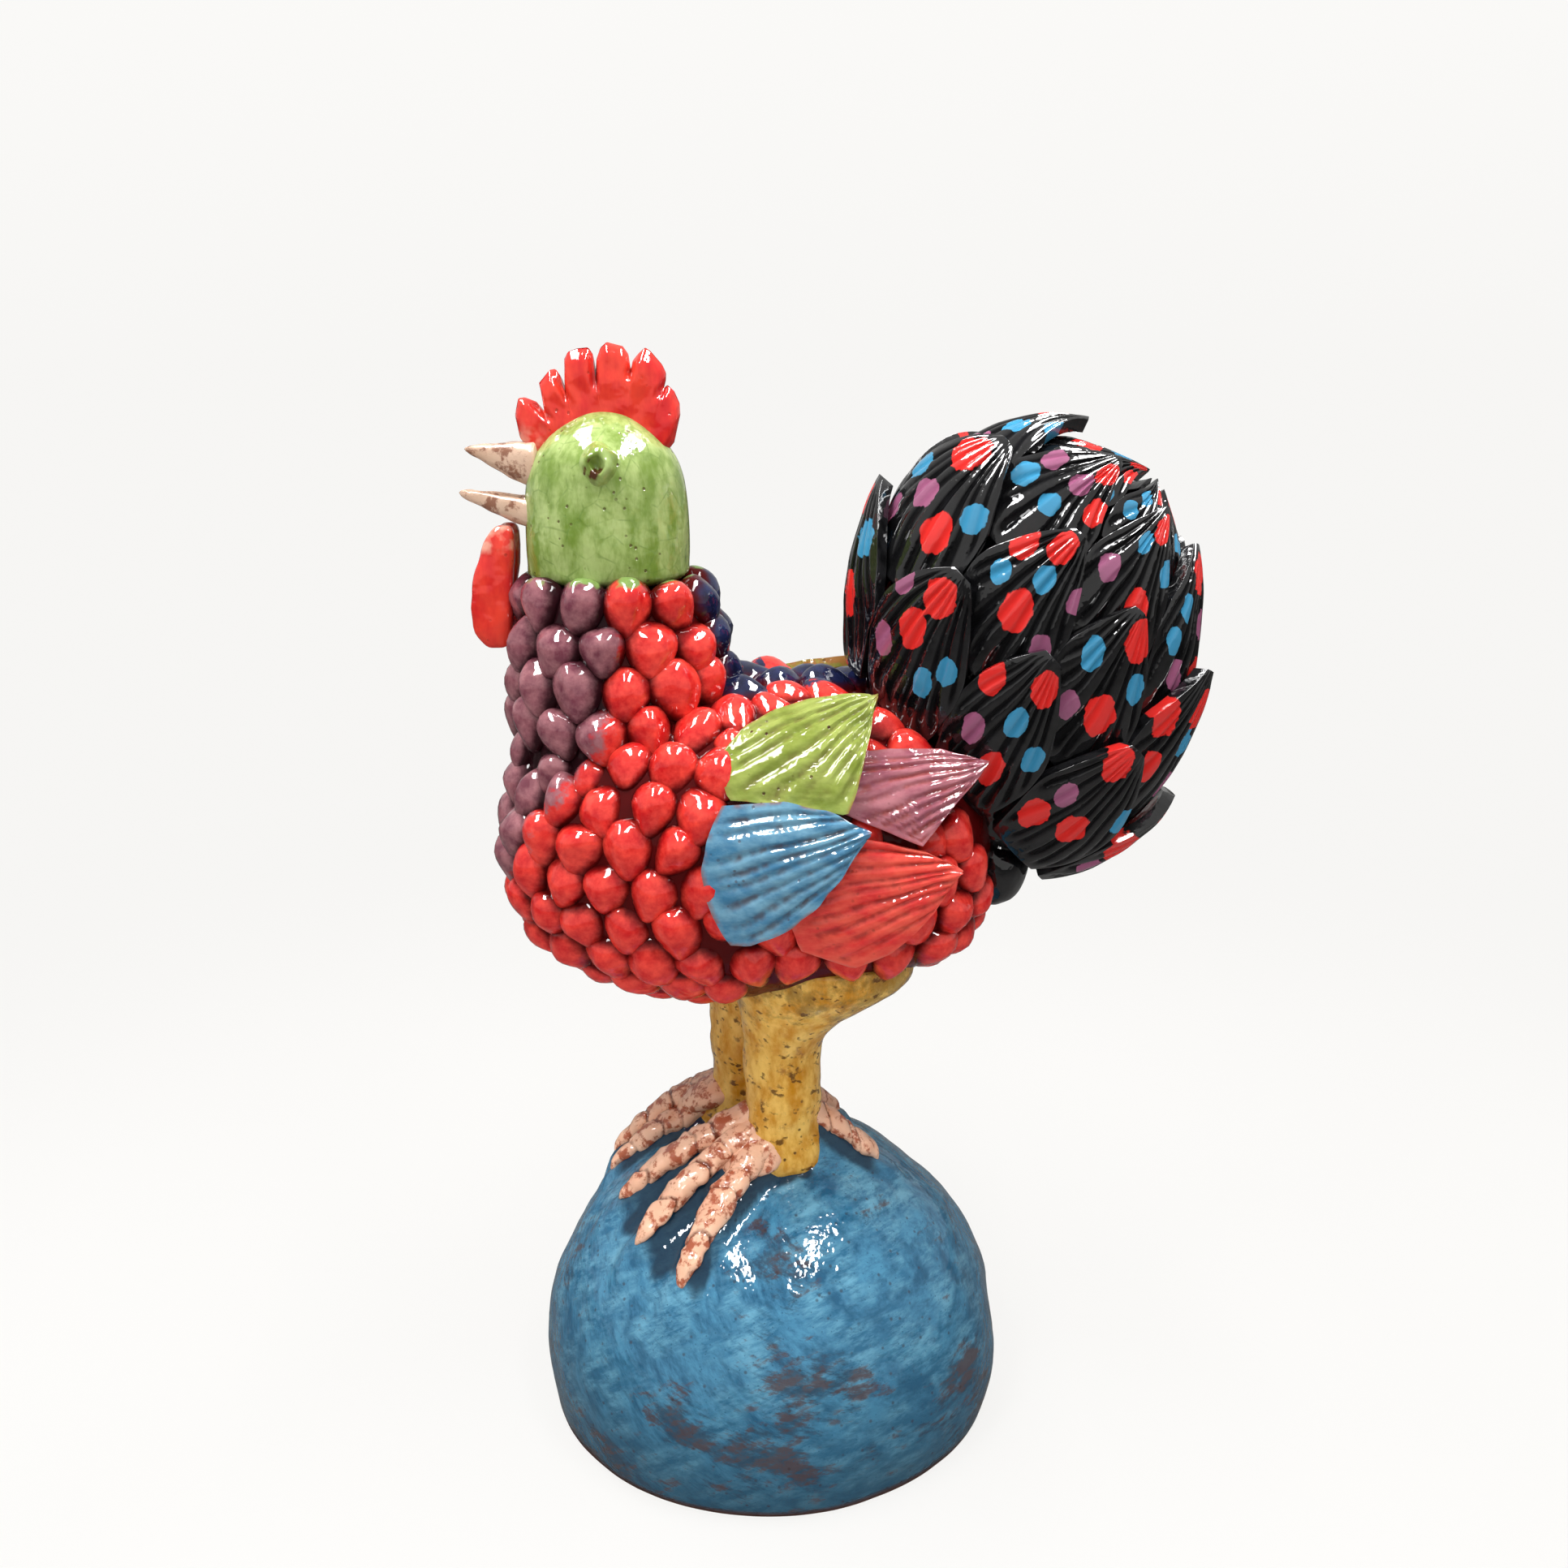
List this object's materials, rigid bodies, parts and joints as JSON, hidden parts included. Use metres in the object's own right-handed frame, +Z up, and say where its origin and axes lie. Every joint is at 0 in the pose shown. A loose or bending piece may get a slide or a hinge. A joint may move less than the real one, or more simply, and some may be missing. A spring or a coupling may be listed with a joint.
{
  "type": "rooster figurine",
  "caption": "Hand-built glazed clay rooster standing on a hollow dome, pelleted body, shingled spotted tail, scored wing feathers; free-standing ornament.",
  "frame": {"origin": "on the ground, below the middle of the whole figure's box", "axes": "+Z up, the bird looks along -X, its left side faces -Y"},
  "size_m": [0.1658, 0.1152, 0.2578],
  "materials": {
    "dome_blue_glaze": "glossy glaze, brushed, bare clay showing through",
    "leg_ochre_glaze": "satin glaze with pits",
    "foot_bare_clay": "bare clay with a brown wash",
    "pellet_red_glaze": "glossy glaze, pooled dark in the crevices",
    "head_green_glaze": "glossy glaze, streaked",
    "comb_red_glaze": "glossy glaze",
    "beak_bare_clay": "bare clay with a brown wash",
    "wing_blue_glaze": "glossy glaze over scored lines",
    "wing_green_glaze": "glossy glaze over scored lines",
    "wing_red_glaze": "glossy glaze over scored lines",
    "wing_mauve_glaze": "glossy glaze over scored lines",
    "tail_black_glaze": "glossy glaze with coloured dots"
  },
  "bodies": {
    "root": {"base_dome": "dome_blue_glaze", "body": "pellet_red_glaze", "comb": "comb_red_glaze", "head": "head_green_glaze", "left_back_toe": "foot_bare_clay", "left_eye": "head_green_glaze", "left_foot": "foot_bare_clay", "left_leg": "leg_ochre_glaze", "left_wattle": "comb_red_glaze", "left_wing_blue": "wing_blue_glaze", "left_wing_green": "wing_green_glaze", "left_wing_mauve": "wing_mauve_glaze", "left_wing_red": "wing_red_glaze", "lower_beak": "beak_bare_clay", "neck": "pellet_red_glaze", "right_back_toe": "foot_bare_clay", "right_eye": "head_green_glaze", "right_foot": "foot_bare_clay", "right_leg": "leg_ochre_glaze", "right_wattle": "comb_red_glaze", "right_wing_blue": "wing_blue_glaze", "right_wing_green": "wing_green_glaze", "right_wing_mauve": "wing_mauve_glaze", "right_wing_red": "wing_red_glaze", "tail_core": "tail_black_glaze", "tail_feather_1_1": "tail_black_glaze", "tail_feather_1_2": "tail_black_glaze", "tail_feather_1_3": "tail_black_glaze", "tail_feather_1_4": "tail_black_glaze", "tail_feather_1_5": "tail_black_glaze", "tail_feather_1_6": "tail_black_glaze", "tail_feather_1_7": "tail_black_glaze", "tail_feather_1_8": "tail_black_glaze", "tail_feather_2_1": "tail_black_glaze", "tail_feather_2_2": "tail_black_glaze", "tail_feather_2_3": "tail_black_glaze", "tail_feather_2_4": "tail_black_glaze", "tail_feather_2_5": "tail_black_glaze", "tail_feather_2_6": "tail_black_glaze", "tail_feather_2_7": "tail_black_glaze", "tail_feather_2_8": "tail_black_glaze", "tail_feather_3_1": "tail_black_glaze", "tail_feather_3_2": "tail_black_glaze", "tail_feather_3_3": "tail_black_glaze", "tail_feather_3_4": "tail_black_glaze", "tail_feather_3_5": "tail_black_glaze", "tail_feather_3_6": "tail_black_glaze", "tail_feather_3_7": "tail_black_glaze", "tail_feather_4_1": "tail_black_glaze", "tail_feather_4_2": "tail_black_glaze", "tail_feather_4_3": "tail_black_glaze", "tail_feather_4_4": "tail_black_glaze", "tail_feather_4_5": "tail_black_glaze", "upper_beak": "beak_bare_clay"}
  },
  "joints": []
}
